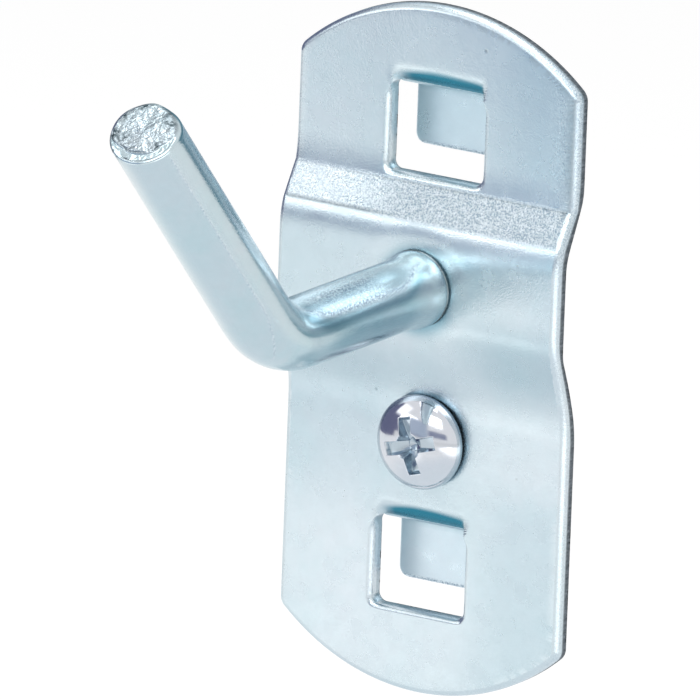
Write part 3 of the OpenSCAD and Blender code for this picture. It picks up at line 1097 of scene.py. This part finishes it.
# Marks of the tip: painted shade in blotches on its rim, mostly on its left, specks on the torn
# face, and dark pits in clusters, each given by its middle and its size
speckle = fade((0.62 - value_noise(0.6 * slant_x, slant_u, 0.15, 61)) / 0.22)
blotch = fade((0.6 - value_noise(slant_x, slant_u, 0.32, 62)) / 0.15)
tip_rim_shade = blotch * fade((tip_radius - rod_r + 0.6) / 0.25)
tip_rim_shade = tip_rim_shade * fade((np.cos(around - 2.7) + 0.25) / 0.5)
clusters = sum(
    np.exp(-((tx - px) ** 2 + (tu - pu) ** 2) / size ** 2)
    for px, pu, size in (
        (2.0, 1.5, 0.7), (1.5, 2.1, 0.5), (-1.5, -0.9, 0.6), (-2.4, -0.6, 0.5),
        (1.7, -0.9, 0.5), (-2.3, 1.3, 0.5), (-1.2, 2.3, 0.45),
    )
)
pits = 0.5 * fade((-torn - 0.06) / 0.08) + 1.5 * clusters * (0.3 + 0.7 * speckle)
tip_marks = no_marks(tip)
tip_marks[..., 0] = 0.3 * inside * (1 - crescent)
tip_marks[..., 1] = 0.42 * inside * (1 - crescent)
tip_marks[..., 2] = np.clip(0.75 * pits * (1 - crescent) + 0.7 * crack, 0, 0.9) * inside
tip_marks[..., 2] += 0.7 * tip_rim_shade
# A light teal painted shade over the torn face, more on the rim's blotches
tip_marks[..., 3] = np.clip(0.12 * inside + 0.1 * tip_rim_shade, 0, 1)

# The riveted head behind the band, with the hammered facets of its closing
rivet_steps = np.linspace(1, 0, 26)[:, None]
rivet_x = rivet_r * rivet_steps * np.cos(around)
rivet_z = rivet_r * rivet_steps * np.sin(around)
rivet_y = band_back + rivet_h * (1 - rivet_steps ** 2.4)
facets = value_noise(rivet_x, rivet_z, 1.1, 21) - 0.6
rivet_y = rivet_y + 0.1 * facets * (1 - rivet_steps ** 6)
rivet_y[-1] = rivet_y[-1].mean()
rivet = np.stack([rivet_x, np.minimum(rivet_y, band_back + rivet_h), rivet_z + arm_z], axis=-1)
tenon = np.stack([body[0], rivet[0]])

arm_mesh = join_grids("arm", [
    (np.concatenate([body, tip]), np.concatenate([body_marks, tip_marks])),
    (tenon, no_marks(tenon)),
    (rivet, no_marks(rivet)),
])
arm = add_to_scene("arm", arm_mesh)
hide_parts("hook_rod")
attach(arm, "root")
arm_finish = zinc_finish(
    "bright_zinc_wire",
    cool=(0.51, 0.635, 0.675),
    warm=(0.59, 0.65, 0.69),
    tint=(0.46, 0.635, 0.67),
    gloss=0.125,
    grain=6500,
    grain_height=1.0,
    grain_bump=0.55,
    streak_scale=(5200, 260, 260),
)
arm_mesh.materials.append(arm_finish)


# ---- Locking screw ----------------------------------------
# A #8-32 pan-head machine screw with a cross recess, cold headed and rolled, and
# brightly plated. It is driven through the plate's tapped hole below the arm.
screw_tip_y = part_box("locking_screw")[1][1] * 1000
screw_z = -7.8
head_r = 4.1
head_under_y = -1.8
head_side = 0.45
head_top = 2.5
recess_turn = math.radians(-15)
recess_half_span = 2.5
recess_half_wing = 0.6
recess_depth = 1.55
recess_core_r = 1.18
thread_r = 2.085
thread_pitch = 0.794
thread_depth = 0.44
point_len = 0.75
neck_r = 2.05
neck_in = 0.3


def head_height(r):
    """Height of the pan head's crown at radius r: a flattened dome that ends square to the side."""
    return head_side + (head_top - head_side) * (1 - np.clip(r / head_r, 0, 1) ** 2.2) ** 0.6


def recess_sink(u, v):
    """Depth of the cross recess at a point: for each pair of wings the least of its flanks, its
    tapering ends and its coned floor, joined with the taper round the middle by whichever is
    deepest."""
    radius = np.hypot(u, v)
    floor_at = recess_depth - 0.42 * radius

    def wing(side, reach):
        flank = (recess_half_wing - np.abs(side)) * 5.5
        end = (recess_half_span - np.abs(reach)) * 2.2
        return np.minimum(np.minimum(flank, end), floor_at)

    core = np.minimum((recess_core_r - radius) * 2.2, floor_at + 0.05)
    sink = np.maximum(np.maximum(wing(u, v), wing(v, u)), core)
    return 0.5 * (sink + np.sqrt(sink ** 2 + 0.02 ** 2))


half_lines = np.unique(np.concatenate([
    np.linspace(0, 0.25, 6),
    np.linspace(0.25, 0.66, 30),
    np.linspace(0.66, 1.2, 14),
    np.linspace(1.2, 2.1, 16),
    np.linspace(2.1, 2.7, 18),
]))
cross_lines = np.concatenate([-half_lines[:0:-1], half_lines])
u, v = np.meshgrid(cross_lines, cross_lines)
h = head_height(np.hypot(u, v)) - recess_sink(u, v)


def head_place(u, v, h):
    """Recess coordinates turned with the screw and stood on the head's underside."""
    x = u * math.cos(recess_turn) + v * math.sin(recess_turn)
    z = -u * math.sin(recess_turn) + v * math.cos(recess_turn)
    return np.stack([x, head_under_y - h, z + screw_z], axis=-1)


crown_marks = no_marks(u[..., None])
# Painted shade in teal down in the cross recess
crown_marks[..., 3] = 0.3 * fade(recess_sink(u, v) / 0.35)
head_grids = [(head_place(u, v, h), crown_marks)]
limit = np.full_like(cross_lines, cross_lines[-1])
square = np.concatenate([
    np.stack([cross_lines, -limit], axis=-1)[:-1],
    np.stack([limit, cross_lines], axis=-1)[:-1],
    np.stack([cross_lines[::-1], limit], axis=-1)[:-1],
    np.stack([-limit, cross_lines[::-1]], axis=-1),
])
square_turn = np.arctan2(square[:, 1], square[:, 0])
circle = head_r * np.stack([np.cos(square_turn), np.sin(square_turn)], axis=-1)
outward = (1 - (1 - np.linspace(0, 1, 34)) ** 2.2)[:, None, None]
crown = square[None] * (1 - outward) + circle[None] * outward
crown_h = head_height(np.hypot(crown[..., 0], crown[..., 1]))
crown_points = head_place(crown[..., 0], crown[..., 1], crown_h)
head_grids.append((crown_points, no_marks(crown_points)))

# Rings of the head's side and underside: the radius of each and its height
skirt_rings = (
    (head_r, head_side), (head_r, 0.4), (head_r, 0.2), (4.08, 0.08),
    (4.0, 0.015), (3.85, 0.0), (neck_r, 0.0), (0.0, 0.0),
)
skirt = np.stack([
    head_place(r * np.cos(square_turn), r * np.sin(square_turn), np.full_like(square_turn, high))
    for r, high in skirt_rings
])
skirt_marks = no_marks(skirt)
# Painted shade in teal on the head's side and underside, for the dark crescent next to the plate
skirt_marks[1:, :, 3] = 0.45
head_grids.append((skirt, skirt_marks))

thread_y = np.linspace(head_under_y, screw_tip_y, 220)[:, None]
thread_turn = square_turn[::4]
turns = thread_y / thread_pitch - thread_turn / (2 * np.pi)
ridge = 1 - np.abs(2 * (turns - np.floor(turns)) - 1)
ridge = np.clip(ridge * 1.3 - 0.12, 0, 1)
shank_r = thread_r - thread_depth + thread_depth * ridge
point = np.clip((screw_tip_y - thread_y) / point_len, 0, 1)
shank_r = np.minimum(shank_r, thread_r - point_len * (1 - point))
under = np.clip((thread_y - head_under_y) / neck_in, 0, 1)
shank_r = shank_r * under + neck_r * (1 - under)
shank = head_place(
    shank_r * np.cos(thread_turn), shank_r * np.sin(thread_turn),
    np.broadcast_to(head_under_y - thread_y, shank_r.shape),
)


def on_axis(ring):
    """A ring's points drawn together on the screw's axis."""
    return ring * np.array([0.0, 1.0, 0.0]) + np.array([0.0, 0.0, screw_z])


neck = shank[:1] - np.array([0, neck_in, 0])
shank = np.concatenate([on_axis(neck), neck, shank, on_axis(shank[-1:])])
head_grids.append((shank, no_marks(shank)))

screw_mesh = join_grids("screw", head_grids)
screw = add_to_scene("screw", screw_mesh)
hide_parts("locking_screw")
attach(screw, "root")
screw_finish = zinc_finish(
    "bright_plated_screw",
    cool=(0.62, 0.66, 0.7),
    warm=(0.66, 0.66, 0.72),
    tint=(0.52, 0.64, 0.68),
    gloss=0.1,
    grain=5200,
    grain_height=0.6,
    grain_bump=0.12,
    streak_scale=(500, 3800, 500),
    scratches=0.6,
)
screw_mesh.materials.append(screw_finish)
